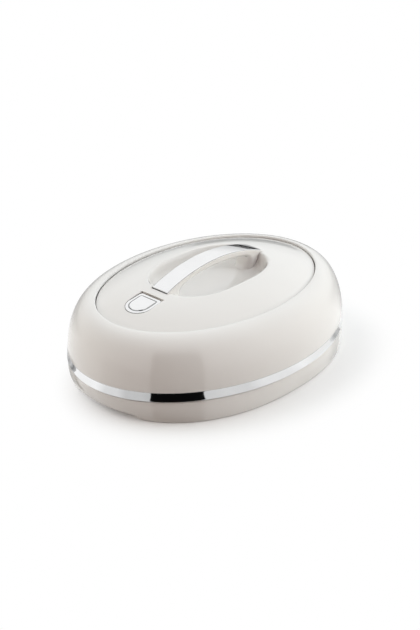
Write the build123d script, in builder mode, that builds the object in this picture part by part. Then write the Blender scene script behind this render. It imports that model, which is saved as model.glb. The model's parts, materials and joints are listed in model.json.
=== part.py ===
from build123d import *
import os
from math import atan, cos, hypot, pi, sin

os.makedirs("parts", exist_ok=True)

# Oval insulated chapati casserole, dimensions in mm.
# +X runs along the long axis with the badge at the -X end, +Z is up,
# and the origin is under the middle of the base.

# ---- overall plan: every wall is an inset from the band oval ----
BAND_A = 150.0          # half length over the band
BAND_B = 113.4          # half width over the band
PAST = 20.0             # how far cutting shapes run past what they cut
FIT = 0.05              # play round plugs and pins

# ---- base shell ----
FOOT_A = BAND_A - 7.8   # half length where the base stands
FOOT_B = BAND_B - 3.6   # half width where the base stands
FOOT_N = 2.25           # the foot is a little squarer than an ellipse
RIM_N = 2.001           # the rim is an ellipse drawn with the foot's kind of curve
BASE_TOP = 21.2         # height of the base rim
BASE_TOP_INSET = 1.0    # base rim inside the band oval
BASE_FLARE = ((0.0, 0.0), (0.33, 0.53), (0.66, 0.88), (1.0, 1.0))   # shares of the height and way out
BASE_WALL = 2.6
BASE_FLOOR = 4.0        # top of the floor
FOOT_RING = 18.0        # width of the standing ring
FOOT_RAISE = 1.3        # how far the underside is raised inside the ring

# ---- finger recess under each narrow end ----
RECESS_H = 4.6
RECESS_DEPTH = 15.0     # how far it runs in under the base
RECESS_SET = 6.0        # centre of its oval beyond the end of the foot
RECESS_HALF_W = 62.0    # half width of its oval
RECESS_SLOPE = 45       # lean of its side, degrees from upright
RECESS_SKIN = 2.4
RECESS_SKIN_SLOPE = 33  # lean of the moulding over it

# ---- rim collar and steel bowl ----
COLLAR_T = 2.6
COLLAR_GAP = 0.4        # collar to base wall
SEAT_OUT = 6.0          # inset of the raised seat the lid rests on
SEAT_IN = 9.4
SEAT_H = 0.8
SEAT_TOP = BASE_TOP + SEAT_H
UPSTAND_OUT = 12.0      # inset of the wall that stands inside the lid
UPSTAND_T = 2.6
UPSTAND_TOP = BASE_TOP + 11.8
BOWL_T = 0.8
BOWL_GAP = 0.3          # bowl to upstand
BOWL_UNDER = BASE_FLOOR + 5.0
BOWL_TURN_Z = BOWL_UNDER + 6.0      # where the bowl wall turns in
BOWL_TURN = 3.0
BOWL_FLOOR_INSET = 36.0
BOWL_ROLL = 0.8         # bowl rim overhang past the upstand
BOWL_ROLL_DROP = 2.2

# ---- band ----
BAND_BOTTOM = SEAT_TOP
BAND_TOP = BAND_BOTTOM + 8.8
BAND_LIP = 0.9          # flare of the lower lip
BAND_WAIST = 0.7        # hollow in the middle
BAND_BEAD = 0.4         # bead along the top
BAND_BEAD_H = 1.8
BAND_CREASE = 0.15      # groove under the bead
BAND_BACK_GAP = 0.05
BAND_CURVE = (          # share of the height below the bead, offset from the band oval
    (0.0, 0.6 * BAND_LIP),
    (0.10, BAND_LIP),
    (0.22, 0.4 * BAND_LIP),
    (0.40, -0.6 * BAND_WAIST),
    (0.62, -BAND_WAIST),
    (0.85, -0.6 * BAND_WAIST),
    (1.0, -BAND_CREASE),
)

# ---- lid shell: the dome profile is a cubic from band to panel seam ----
LID_BOTTOM = BAND_BOTTOM + 0.4
LID_WALL = 2.6
SEAM_A = BAND_A - 27.6  # half length of the panel well
SEAM_B = BAND_B - 29.2
RIM_Z = BAND_TOP + 45.2 # crest of the dome rim round the panel
DOME_RISE = 16.0        # straight reach of the profile above the band
DOME_LEAN = 0.6
DOME_FLAT = 21.0        # level reach of the profile at the rim
REBATE = 1.6            # step that takes the band
REBATE_LAND = 2.0       # wall above the band that keeps the rebate's thickness
LEDGE_Z = RIM_Z - 5.0   # top of the ledge under the panel
LEDGE_T = 2.6
LEDGE_W = 5.4

# ---- top panel ----
PANEL_GAP = 0.4
PANEL_A = SEAM_A - PANEL_GAP
PANEL_B = SEAM_B - PANEL_GAP
PANEL_EDGE_Z = RIM_Z - 2.4
PANEL_CROWN = PANEL_EDGE_Z + 15.5
PANEL_POWER = 3.2       # how square the crown is
PANEL_RINGS = (1.0, 0.94, 0.86, 0.76, 0.64, 0.5, 0.36)
PANEL_INNER_RINGS = (0.9, 0.82, 0.72, 0.6, 0.48, 0.36)
PANEL_T = 2.6
PANEL_FLANGE = 5.2

# ---- handle plan, which the pocket follows ----
HANDLE_W = 20.4
HANDLE_MARGIN = 56.2    # panel left beyond each end of the handle
HANDLE_END_X = PANEL_A - HANDLE_MARGIN
NOTCH_DEPTH = 2.2
NOTCH_GAP = 0.1

# ---- hand pocket in the panel ----
POCKET_A = HANDLE_END_X - 1.0    # the handle ends lie just past the pocket's lip
POCKET_B = 44.6
POCKET_N = 2.7
POCKET_TOP = PANEL_CROWN - 1.1
POCKET_DEPTH = 15.4
POCKET_FLOOR = POCKET_TOP - POCKET_DEPTH
POCKET_T = 2.6
POCKET_CURVE = (        # inset from the pocket oval, share of the depth
    (0.0, 0.0), (1.4, 0.03), (2.7, 0.10), (3.9, 0.21), (5.3, 0.42),
    (7.2, 0.65), (10.0, 0.83), (14.6, 0.935), (20.6, 0.985), (26.6, 1.0),
)

# ---- handle ----
HANDLE_END_Z = POCKET_TOP - 0.5
HANDLE_CREST_Z = HANDLE_END_Z + 12.7
HANDLE_ARCH_Z = HANDLE_CREST_Z - 6.2    # underside at mid span
LEG_T = 17.5                            # thickness of each leg along the handle
LEG_IN_X = HANDLE_END_X - LEG_T         # inner face of each leg where the arch starts
LEG_TOP_Z = HANDLE_END_Z + 0.2
LEG_FLARE = 7.0                         # the foot reaches in by this much more
LEG_FOOT_Z = POCKET_FLOOR - 0.3
LEG_CORNER = 7.0                        # arch into leg
LEG_ROUND = 3.5
TRIM_EDGE = 0.7                         # bow left on each side of the trim
TRIM_W = HANDLE_W - 2 * TRIM_EDGE
TRIM_T = 1.5
TRIM_SEAT = 0.8                         # how deep the trim sits in the bow
TRIM_END_X = HANDLE_END_X - 0.8
TRIM_ROUND = 0.5

# ---- badge ----
BADGE_X = -(HANDLE_END_X + 9.7)         # straight side
BADGE_SINK = 1.0        # top of the plate below the panel skin at the straight side
BADGE_LIE = 2.5         # the plate is parallel to the skin this far beyond its straight side
BADGE_SQUARE = 15.0     # straight part before the round end
BADGE_R = 13.5
BADGE_T = 1.5
BADGE_GAP = 0.25
BADGE_SLOT = 1.6        # open slot along the straight side
BADGE_SLOT_D = 1.0
BADGE_SLOT_OVER = 0.8   # slot beyond each end of the straight side
BOSS_H = 0.5            # low raised oval on the plate
BOSS_X = 13.5
BOSS_A = 8.5
BOSS_B = 6.5
BADGE_PAD = 2.8         # margin of the pad behind the plate
BADGE_PAD_T = 2.4
PIN_R = 1.4
PIN_X = 6.0             # pins from the straight side
PIN_Y = 7.5

# ---- screws, each up through the pocket floor into a leg ----
SCREW_X = LEG_IN_X + 2.7
SCREW_R = 1.8
SCREW_HEAD_R = 3.6
SCREW_HEAD_H = 2.4
SCREW_BITE = 11.0       # thread above the pocket floor
SCREW_TIP = 1.0         # hole beyond the thread
SCREW_FIT = 0.02
SCREW_HOLE_R = 2.1      # clearance hole in the panel
SCREW_SEAT_Z = POCKET_FLOOR - POCKET_T - 0.5    # flat under the pocket that the heads pull on
SCREW_PAD_R = 5.0
SCREW_PAD_H = 5.0
SLOT_L = 4.2            # cross recess in the head
SLOT_W = 0.9
SLOT_D = 1.4

# ---- lid liner ----
LINER_T = 2.2
LINER_FOOT_Z = SEAT_TOP + 0.05
LINER_FOOT_T = 2.2
LINER_INSET = 8.2
LINER_TOP = SCREW_SEAT_Z - SCREW_HEAD_H - 1.0
LINER_TURN_Z = LINER_TOP - 11.0         # where the liner wall turns in
LINER_TURN = 12.0
LINER_FLAT_INSET = 52.0
LINER_FIT = 0.1         # liner foot to lid wall

# ---- filling hole plugs ----
PLUG_R = 7.0
PLUG_CAP_R = 9.5
PLUG_CAP_T = 1.0
PLUG_STEM = 5.0
PLUG_REACH = 1.5        # stem of the lid's plug past the liner

# ---- foam ----
HEAD_ROOM = 0.3         # foam clear of the screw heads

def oval_points(a, b, n, count=40):
    """Points round a superellipse with half axes a, b and exponent n."""
    points = []
    for i in range(count):
        c, s = cos(2 * pi * i / count), sin(2 * pi * i / count)
        x = a * abs(c) ** (2 / n) * (1 if c >= 0 else -1)
        y = b * abs(s) ** (2 / n) * (1 if s >= 0 else -1)
        points.append((x, y))
    return points


def oval(a, b, z, n=2.0):
    """Level oval face at height z."""
    with BuildSketch(Plane.XY.offset(z)) as level:
        if n == 2.0:
            Ellipse(a, b)
        else:
            with BuildLine():
                Spline(*oval_points(a, b, n), periodic=True)
            make_face()
    return level.sketch


def stack(sections, mode=Mode.ADD):
    """Smooth solid through level ovals given as (a, b, z) or (a, b, z, n)."""
    loft([oval(*section) for section in sections], mode=mode)


def disc(a, b, z0, z1, mode=Mode.ADD, n=2.0):
    """Straight-sided oval from z0 up to z1."""
    extrude(oval(a, b, z0, n), amount=z1 - z0, mode=mode)


def inset(d):
    """Half axes of the band oval moved inward by d."""
    return BAND_A - d, BAND_B - d


def bezier(points, t):
    """Point and unit normal (to the left of travel) on a cubic."""
    p0, p1, p2, p3 = points
    w = ((1 - t) ** 3, 3 * t * (1 - t) ** 2, 3 * t * t * (1 - t), t ** 3)
    v = (3 * (1 - t) ** 2, 6 * t * (1 - t), 3 * t * t)
    x = sum(k * p[0] for k, p in zip(w, points))
    z = sum(k * p[1] for k, p in zip(w, points))
    dx = v[0] * (p1[0] - p0[0]) + v[1] * (p2[0] - p1[0]) + v[2] * (p3[0] - p2[0])
    dz = v[0] * (p1[1] - p0[1]) + v[1] * (p2[1] - p1[1]) + v[2] * (p3[1] - p2[1])
    size = hypot(dx, dz)
    return x, z, dz / size, -dx / size


def profile_sections(points, depth, steps, extra_b=0.0):
    """Level ovals of a wall whose inset and height follow a cubic, moved in by depth."""
    last = points[-1][0]
    sections = []
    for t in steps:
        x, z, nx, nz = bezier(points, t)
        a, b = inset(x + nx * depth)
        sections.append((a, b - extra_b * x / last, z + nz * depth))
    return sections


STEPS = (0.0, 0.15, 0.3, 0.45, 0.58, 0.7, 0.8, 0.9, 1.0)

# Dome skin: inset from the band oval against height.
SEAM_INSET = BAND_A - SEAM_A
DOME = (
    (0.0, BAND_TOP),
    (DOME_LEAN, BAND_TOP + DOME_RISE),
    (SEAM_INSET - DOME_FLAT, RIM_Z),
    (SEAM_INSET, RIM_Z),
)
# The seam closes in a little further across the short axis.
SEAM_EXTRA_B = BAND_B - SEAM_INSET - SEAM_B

# Liner skin, and the same cubic is used for its hollow.
LINER = (
    (LINER_INSET, LINER_FOOT_Z + LINER_FOOT_T),
    (LINER_INSET, LINER_TURN_Z),
    (LINER_INSET + LINER_TURN, LINER_TOP),
    (LINER_FLAT_INSET, LINER_TOP),
)
# Bowl outside skin, from the rim down.
BOWL_INSET = UPSTAND_OUT + UPSTAND_T + BOWL_GAP
BOWL = (
    (BOWL_INSET, UPSTAND_TOP),
    (BOWL_INSET, BOWL_TURN_Z),
    (BOWL_INSET + BOWL_TURN, BOWL_UNDER),
    (BOWL_FLOOR_INSET, BOWL_UNDER),
)


def panel_z(rho):
    """Height of the panel skin at a fraction rho of the seam oval."""
    return PANEL_CROWN - (PANEL_CROWN - PANEL_EDGE_Z) * rho ** PANEL_POWER


def panel_slope(rho):
    """Fall of the panel skin per unit length along its long axis."""
    return (PANEL_CROWN - PANEL_EDGE_Z) * PANEL_POWER * rho ** (PANEL_POWER - 1) / PANEL_A


# ================= tools shared by several pieces =================

# Everything under the panel skin, before the pocket.
with BuildPart() as panel_mass:
    stack([(PANEL_A * r, PANEL_B * r, panel_z(r)) for r in PANEL_RINGS])
    disc(PANEL_A, PANEL_B, LEDGE_Z, PANEL_EDGE_Z)

# Rolled lip, steep wall and flat floor of the hand pocket, from the top down.
POCKET_STEPS = [(d, POCKET_TOP - share * POCKET_DEPTH) for d, share in POCKET_CURVE]
with BuildPart() as pocket_space:
    stack([(POCKET_A - d, POCKET_B - d, z, POCKET_N) for d, z in POCKET_STEPS])
    disc(POCKET_A, POCKET_B, POCKET_TOP, POCKET_TOP + PAST, n=POCKET_N)

with BuildPart() as pocket_block:
    stack([(POCKET_A - d + POCKET_T, POCKET_B - d + POCKET_T, z - POCKET_T, POCKET_N)
           for d, z in POCKET_STEPS])
    disc(POCKET_A + POCKET_T, POCKET_B + POCKET_T, POCKET_TOP - POCKET_T, POCKET_TOP + PAST, n=POCKET_N)

# The badge lies on the panel, tilted with it.
badge_tilt = atan(panel_slope((BADGE_LIE - BADGE_X) / PANEL_A))
badge_plane = Plane(
    origin=(BADGE_X, 0, panel_z(-BADGE_X / PANEL_A) - BADGE_SINK),
    x_dir=(-cos(badge_tilt), 0, -sin(badge_tilt)),
    z_dir=(-sin(badge_tilt), 0, cos(badge_tilt)),
)


def badge_outline(grow=0.0):
    """Badge plan: straight side, short flanks and a round end."""
    with BuildSketch(badge_plane) as outline:
        with Locations((BADGE_SQUARE / 2, 0)):
            Rectangle(BADGE_SQUARE + 2 * grow, 2 * BADGE_R + 2 * grow)
        with Locations((BADGE_SQUARE, 0)):
            Circle(BADGE_R + grow)
    return outline.sketch


def badge_slot():
    """Plan of the slot between the plate's straight side and the panel."""
    with BuildSketch(badge_plane) as slot:
        with Locations((-BADGE_SLOT / 2, 0)):
            Rectangle(BADGE_SLOT, 2 * (BADGE_R + BADGE_SLOT_OVER))
    return slot.sketch


def screw_discs(radius, z, amount, mode=Mode.ADD):
    """One round post or hole at each screw, from z by the given amount."""
    with BuildSketch(Plane.XY.offset(z)) as spots:
        with Locations((-SCREW_X, 0), (SCREW_X, 0)):
            Circle(radius)
    extrude(spots.sketch, amount=amount, mode=mode)


def badge_pins(radius, plane):
    """Round plans of the two pins behind the badge."""
    with BuildSketch(plane) as pins:
        with Locations((PIN_X, PIN_Y), (PIN_X, -PIN_Y)):
            Circle(radius)
    return pins.sketch


# Flat pads under the panel for the screws and the badge.
with BuildPart() as panel_pads:
    screw_discs(SCREW_PAD_R, SCREW_SEAT_Z, SCREW_PAD_H)
    extrude(badge_outline(BADGE_PAD), amount=-(BADGE_T + BADGE_PAD_T))

# Space under the panel, inside its flange.
with BuildPart() as panel_hollow:
    stack([(PANEL_A - PANEL_FLANGE, PANEL_B - PANEL_FLANGE, LEDGE_Z)]
          + [(PANEL_A * r, PANEL_B * r, panel_z(r) - PANEL_T) for r in PANEL_INNER_RINGS])
    add(pocket_block.part, mode=Mode.SUBTRACT)
    add(panel_pads.part, mode=Mode.SUBTRACT)

# The panel before it is hollowed, with the notches for the handle ends.
with BuildPart() as panel_block:
    add(pocket_block.part)
    disc(BAND_A, BAND_B, PANEL_EDGE_Z, POCKET_TOP + PAST, mode=Mode.SUBTRACT)
    add(panel_mass.part)
    screw_discs(SCREW_PAD_R, SCREW_SEAT_Z, SCREW_PAD_H)
    add(pocket_space.part, mode=Mode.SUBTRACT)
    with BuildSketch(Plane.XY.offset(HANDLE_END_Z - NOTCH_DEPTH)):
        Rectangle(2 * (HANDLE_END_X + NOTCH_GAP), HANDLE_W + 2 * NOTCH_GAP)
    extrude(amount=PAST, mode=Mode.SUBTRACT)

# ================= base body =================

recess_x = FOOT_A + RECESS_SET
recess_half = RECESS_DEPTH + RECESS_SET
with BuildPart() as recess_space:
    for side in (-1, 1):
        with BuildSketch(Plane.XY):
            with Locations((side * recess_x, 0)):
                Ellipse(recess_half, RECESS_HALF_W)
        extrude(amount=RECESS_H, taper=RECESS_SLOPE)

with BuildPart() as recess_block:
    for side in (-1, 1):
        with BuildSketch(Plane.XY):
            with Locations((side * recess_x, 0)):
                Ellipse(recess_half + RECESS_SKIN, RECESS_HALF_W + RECESS_SKIN)
        extrude(amount=RECESS_H + RECESS_SKIN, taper=RECESS_SKIN_SLOPE)

rim_a, rim_b = inset(BASE_TOP_INSET)
BASE_SECTIONS = [
    (
        FOOT_A + (rim_a - FOOT_A) * out,
        FOOT_B + (rim_b - FOOT_B) * out,
        BASE_TOP * rise,
        FOOT_N + (RIM_N - FOOT_N) * rise,
    )
    for rise, out in BASE_FLARE
]
with BuildPart() as base_hollow:
    stack([(a - BASE_WALL, b - BASE_WALL, z, n) for a, b, z, n in BASE_SECTIONS])
    disc(BAND_A, BAND_B, 0, BASE_FLOOR, mode=Mode.SUBTRACT)
    add(recess_block.part, mode=Mode.SUBTRACT)

with BuildPart() as base_shell:
    stack(BASE_SECTIONS)
    add(base_hollow.part, mode=Mode.SUBTRACT)
    add(recess_space.part, mode=Mode.SUBTRACT)
    disc(FOOT_A - FOOT_RING, FOOT_B - FOOT_RING, 0, FOOT_RAISE, mode=Mode.SUBTRACT)
    disc(PLUG_R + FIT, PLUG_R + FIT, 0, BASE_FLOOR, mode=Mode.SUBTRACT)
base_shell.part.label = "base_shell"
export_step(base_shell.part, "parts/base_shell.step")

with BuildPart() as bowl_skin:
    stack(profile_sections(BOWL, 0, STEPS))

with BuildPart() as base_foam:
    add(base_hollow.part)
    disc(BAND_A, BAND_B, BASE_TOP - COLLAR_T, BASE_TOP, mode=Mode.SUBTRACT)
    add(bowl_skin.part, mode=Mode.SUBTRACT)
    disc(PLUG_R + FIT, PLUG_R + FIT, 0, FOOT_RAISE + PLUG_STEM, mode=Mode.SUBTRACT)
base_foam.part.label = "base_foam"
export_step(base_foam.part, "parts/base_foam.step")

with BuildPart() as base_fill_plug:
    disc(PLUG_CAP_R, PLUG_CAP_R, FOOT_RAISE - PLUG_CAP_T, FOOT_RAISE)
    disc(PLUG_R, PLUG_R, FOOT_RAISE, FOOT_RAISE + PLUG_STEM)
base_fill_plug.part.label = "base_fill_plug"
export_step(base_fill_plug.part, "parts/base_fill_plug.step")

with BuildPart() as rim_collar:
    disc(*inset(BASE_TOP_INSET + BASE_WALL + COLLAR_GAP), BASE_TOP - COLLAR_T, BASE_TOP)
    disc(*inset(SEAT_OUT), BASE_TOP, SEAT_TOP)
    disc(*inset(SEAT_IN), BASE_TOP, SEAT_TOP, mode=Mode.SUBTRACT)
    disc(*inset(UPSTAND_OUT), BASE_TOP, UPSTAND_TOP)
    disc(*inset(UPSTAND_OUT + UPSTAND_T), BASE_TOP - COLLAR_T, UPSTAND_TOP, mode=Mode.SUBTRACT)
rim_collar.part.label = "rim_collar"
export_step(rim_collar.part, "parts/rim_collar.step")

with BuildPart() as bowl_liner:
    stack(profile_sections(BOWL, 0, STEPS))
    disc(*inset(UPSTAND_OUT - BOWL_ROLL), UPSTAND_TOP - BOWL_ROLL_DROP, UPSTAND_TOP + BOWL_T)
    disc(*inset(UPSTAND_OUT - BOWL_GAP), UPSTAND_TOP - BOWL_ROLL_DROP, UPSTAND_TOP, mode=Mode.SUBTRACT)
    stack(profile_sections(BOWL, 0, STEPS))
    stack(profile_sections(BOWL, -BOWL_T, STEPS), mode=Mode.SUBTRACT)
    disc(*inset(BOWL_INSET + BOWL_T), UPSTAND_TOP, UPSTAND_TOP + BOWL_T, mode=Mode.SUBTRACT)
bowl_liner.part.label = "bowl_liner"
export_step(bowl_liner.part, "parts/bowl_liner.step")

# ================= lid body =================

# Space inside the dome, clear of the panel well.
with BuildPart() as lid_hollow:
    stack(profile_sections(DOME, LID_WALL, STEPS, SEAM_EXTRA_B))
    disc(BAND_A, BAND_B, LID_BOTTOM, BAND_TOP + REBATE_LAND, mode=Mode.SUBTRACT)
    disc(*inset(REBATE + LID_WALL), LID_BOTTOM, BAND_TOP + REBATE_LAND)
    disc(SEAM_A + LID_WALL, SEAM_B + LID_WALL, LEDGE_Z - LEDGE_T, RIM_Z, mode=Mode.SUBTRACT)

with BuildPart() as lid_shell:
    stack(profile_sections(DOME, 0, STEPS, SEAM_EXTRA_B))
    disc(*inset(REBATE), LID_BOTTOM, BAND_TOP)
    add(lid_hollow.part, mode=Mode.SUBTRACT)
    disc(SEAM_A, SEAM_B, LEDGE_Z, RIM_Z, mode=Mode.SUBTRACT)
    disc(SEAM_A - LEDGE_W, SEAM_B - LEDGE_W, LEDGE_Z - LEDGE_T, LEDGE_Z, mode=Mode.SUBTRACT)
lid_shell.part.label = "lid_shell"
export_step(lid_shell.part, "parts/lid_shell.step")

with BuildPart() as lid_band:
    bead_z = BAND_TOP - BAND_BEAD_H
    stack([(*inset(-out), BAND_BOTTOM + share * (bead_z - BAND_BOTTOM)) for share, out in BAND_CURVE])
    stack([
        (*inset(BAND_CREASE), bead_z),
        (*inset(-BAND_BEAD), bead_z + BAND_BEAD_H / 3),
        (*inset(-BAND_BEAD), BAND_TOP - BAND_BEAD_H / 3),
        (*inset(BAND_CREASE), BAND_TOP),
    ])
    disc(*inset(REBATE - BAND_BACK_GAP), BAND_BOTTOM, BAND_TOP, mode=Mode.SUBTRACT)
lid_band.part.label = "lid_band"
export_step(lid_band.part, "parts/lid_band.step")

with BuildPart() as top_panel:
    add(panel_block.part)
    add(panel_hollow.part, mode=Mode.SUBTRACT)
    extrude(badge_outline(BADGE_GAP), amount=-BADGE_T, mode=Mode.SUBTRACT)
    extrude(badge_outline(BADGE_GAP), amount=PAST, mode=Mode.SUBTRACT)
    extrude(badge_slot(), amount=-BADGE_SLOT_D, mode=Mode.SUBTRACT)
    extrude(badge_slot(), amount=PAST, mode=Mode.SUBTRACT)
    extrude(badge_pins(PIN_R + FIT, badge_plane), amount=-(BADGE_T + BADGE_PAD_T), mode=Mode.SUBTRACT)
    screw_discs(SCREW_HOLE_R, SCREW_SEAT_Z, SCREW_BITE, mode=Mode.SUBTRACT)
top_panel.part.label = "top_panel"
export_step(top_panel.part, "parts/top_panel.step")


def bow_arc(drop):
    """Three points of the handle's top arc, lowered by drop."""
    return (
        (-HANDLE_END_X, HANDLE_END_Z - drop),
        (0, HANDLE_CREST_Z - drop),
        (HANDLE_END_X, HANDLE_END_Z - drop),
    )


with BuildPart() as trim_seat:
    with BuildSketch(Plane.XZ):
        with BuildLine():
            low = ThreePointArc(*bow_arc(TRIM_SEAT))
            high = ThreePointArc(*bow_arc(-TRIM_T))
            Line(low @ 0, high @ 0)
            Line(low @ 1, high @ 1)
        make_face()
    extrude(amount=TRIM_W / 2 + NOTCH_GAP, both=True)

with BuildPart() as handle_bow:
    with BuildSketch(Plane.XZ):
        with BuildLine():
            top = ThreePointArc(*bow_arc(0))
            under = ThreePointArc((-LEG_IN_X, LEG_TOP_Z), (0, HANDLE_ARCH_Z), (LEG_IN_X, LEG_TOP_Z))
            Polyline(under @ 1, (LEG_IN_X - LEG_FLARE, LEG_FOOT_Z), (HANDLE_END_X, LEG_FOOT_Z), top @ 1)
            Polyline(under @ 0, (LEG_FLARE - LEG_IN_X, LEG_FOOT_Z), (-HANDLE_END_X, LEG_FOOT_Z), top @ 0)
        make_face()
        corners = [v for v in vertices() if abs(v.X) < LEG_IN_X + FIT and v.Z > LEG_TOP_Z - FIT]
        fillet(corners, radius=LEG_CORNER)
    extrude(amount=HANDLE_W / 2, both=True)
    soft = [
        e for e in edges()
        if abs(abs(e.center().Y) - HANDLE_W / 2) < FIT
        and abs(e.center().X) < LEG_IN_X + FIT
        and LEG_FOOT_Z + FIT < e.center().Z < HANDLE_ARCH_Z + FIT
    ]
    fillet(soft, radius=LEG_ROUND)
    add(trim_seat.part, mode=Mode.SUBTRACT)
    add(panel_block.part, mode=Mode.SUBTRACT)
    screw_depth = POCKET_FLOOR + SCREW_BITE + SCREW_TIP - LEG_FOOT_Z
    screw_discs(SCREW_R + SCREW_FIT, LEG_FOOT_Z, screw_depth, mode=Mode.SUBTRACT)
handle_bow.part.label = "handle_bow"
export_step(handle_bow.part, "parts/handle_bow.step")

with BuildPart() as handle_trim:
    with BuildSketch(Plane.XZ):
        with BuildLine():
            low = ThreePointArc(*bow_arc(TRIM_SEAT))
            high = ThreePointArc(*bow_arc(TRIM_SEAT - TRIM_T))
            Line(low @ 0, high @ 0)
            Line(low @ 1, high @ 1)
        make_face()
        with Locations((0, HANDLE_CREST_Z)):
            Rectangle(2 * TRIM_END_X, 2 * PAST, mode=Mode.INTERSECT)
    extrude(amount=TRIM_W / 2, both=True)
    rim = [e for e in edges() if abs(abs(e.center().Y) - TRIM_W / 2) < FIT and e.length > TRIM_END_X]
    fillet(sorted(rim, key=lambda e: e.center().Z)[-2:], radius=TRIM_ROUND)
handle_trim.part.label = "handle_trim"
export_step(handle_trim.part, "parts/handle_trim.step")

with BuildPart() as handle_screws:
    screw_discs(SCREW_HEAD_R, SCREW_SEAT_Z, -SCREW_HEAD_H)
    screw_discs(SCREW_R, SCREW_SEAT_Z, POCKET_FLOOR + SCREW_BITE - SCREW_SEAT_Z)
    with BuildSketch(Plane.XY.offset(SCREW_SEAT_Z - SCREW_HEAD_H)):
        with Locations((-SCREW_X, 0), (SCREW_X, 0)):
            Rectangle(SLOT_W, SLOT_L)
            Rectangle(SLOT_L, SLOT_W)
    extrude(amount=SLOT_D, mode=Mode.SUBTRACT)
handle_screws.part.label = "handle_screws"
export_step(handle_screws.part, "parts/handle_screws.step")

with BuildPart() as badge_plate:
    extrude(badge_outline(), amount=-BADGE_T)
    with BuildSketch(badge_plane):
        with Locations((BOSS_X, 0)):
            Ellipse(BOSS_A, BOSS_B)
    extrude(amount=BOSS_H)
    extrude(badge_pins(PIN_R, badge_plane.offset(-BADGE_T)), amount=-BADGE_PAD_T)
badge_plate.part.label = "badge_plate"
export_step(badge_plate.part, "parts/badge_plate.step")

with BuildPart() as liner_skin:
    stack(profile_sections(LINER, 0, STEPS))

with BuildPart() as lid_liner:
    add(liner_skin.part)
    disc(*inset(REBATE + LID_WALL + LINER_FIT), LINER_FOOT_Z, LINER_FOOT_Z + LINER_FOOT_T)
    stack(profile_sections(LINER, LINER_T, STEPS), mode=Mode.SUBTRACT)
    disc(*inset(LINER_INSET + LINER_T), LINER_FOOT_Z, LINER_FOOT_Z + LINER_FOOT_T, mode=Mode.SUBTRACT)
    disc(PLUG_R + FIT, PLUG_R + FIT, LINER_TOP - LINER_T, LINER_TOP, mode=Mode.SUBTRACT)
lid_liner.part.label = "lid_liner"
export_step(lid_liner.part, "parts/lid_liner.step")

with BuildPart() as lid_fill_plug:
    disc(PLUG_CAP_R, PLUG_CAP_R, LINER_TOP - LINER_T - PLUG_CAP_T, LINER_TOP - LINER_T)
    disc(PLUG_R, PLUG_R, LINER_TOP - LINER_T, LINER_TOP + PLUG_REACH)
lid_fill_plug.part.label = "lid_fill_plug"
export_step(lid_fill_plug.part, "parts/lid_fill_plug.step")

with BuildPart() as lid_foam:
    add(lid_hollow.part)
    disc(BAND_A, BAND_B, LID_BOTTOM, LINER_FOOT_Z + LINER_FOOT_T, mode=Mode.SUBTRACT)
    disc(SEAM_A - LEDGE_W, SEAM_B - LEDGE_W, LEDGE_Z - LEDGE_T, LEDGE_Z)
    add(panel_hollow.part)
    add(liner_skin.part, mode=Mode.SUBTRACT)
    add(pocket_block.part, mode=Mode.SUBTRACT)
    add(panel_pads.part, mode=Mode.SUBTRACT)
    screw_discs(SCREW_HEAD_R + HEAD_ROOM, SCREW_SEAT_Z, -SCREW_HEAD_H - HEAD_ROOM, mode=Mode.SUBTRACT)
    disc(PLUG_R + FIT, PLUG_R + FIT, LINER_TOP, LINER_TOP + PLUG_REACH, mode=Mode.SUBTRACT)
lid_foam.part.label = "lid_foam"
export_step(lid_foam.part, "parts/lid_foam.step")
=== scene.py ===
import json
import math
import bmesh
import bpy
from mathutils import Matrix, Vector


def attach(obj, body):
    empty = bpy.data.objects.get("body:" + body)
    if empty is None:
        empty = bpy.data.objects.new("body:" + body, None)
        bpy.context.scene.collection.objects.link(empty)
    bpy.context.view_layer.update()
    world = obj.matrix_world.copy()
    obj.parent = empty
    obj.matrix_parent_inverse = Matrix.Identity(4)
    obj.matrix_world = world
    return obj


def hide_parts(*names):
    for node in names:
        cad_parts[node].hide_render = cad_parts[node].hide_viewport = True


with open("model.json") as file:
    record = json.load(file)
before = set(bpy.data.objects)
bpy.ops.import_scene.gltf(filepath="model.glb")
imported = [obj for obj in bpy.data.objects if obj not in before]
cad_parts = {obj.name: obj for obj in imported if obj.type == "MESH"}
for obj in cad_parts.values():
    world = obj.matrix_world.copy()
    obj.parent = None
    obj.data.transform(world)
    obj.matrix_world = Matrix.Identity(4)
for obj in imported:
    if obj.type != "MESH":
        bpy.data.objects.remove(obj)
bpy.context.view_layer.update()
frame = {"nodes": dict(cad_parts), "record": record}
nodes = frame["nodes"]

# Sizes in mm, as in the part's source. The script turns them into metres when a mesh is made.
MM = 0.001
COLUMNS = 288               # points round every oval

# Base: the band's oval, the oval that it stands on, and the wall between them.
BAND_A, BAND_B = 150.0, 113.4
FOOT_A, FOOT_B, FOOT_N = 142.2, 109.8, 2.25
RIM_INSET = 1.0
RIM_A, RIM_B = BAND_A - RIM_INSET, BAND_B - RIM_INSET
BASE_TOP = 21.2             # height over which the wall's curve runs
BASE_CURVE = ((0.0, 0.0), (0.33, 0.53), (0.66, 0.88), (1.0, 1.0))   # share of the height, of the way out
BASE_EDGE = 20.75           # the wall stops a little below that, so that the seam reads as a dark line
BASE_WALL = 2.6
BASE_LIP = 0.9              # rounding of the wall's lower edge
BASE_SHOULDER = 0.5         # rounding of its top
BASE_BREAK = 0.3            # broken edge inside the top
INNER_WALL = (17.0, 12.0, 8.5)                  # heights of the rings down the inside
FLOOR_A, FLOOR_B = FOOT_A + 1.0, FOOT_B + 0.6   # oval that the inside floor is inset from
INNER_FLOOR = (BASE_WALL + 1.5, 8.0, 14.0, 20.0, 27.0)
BASE_FLOOR = 4.0
FOOT_RING = 18.0            # width of the standing ring
FOOT_RAISE = 1.3            # height of the underside inside it
FOOT_SLOPE = 0.2            # lean of the standing ring's inner side
PLUG_HOLE = 7.05

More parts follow.
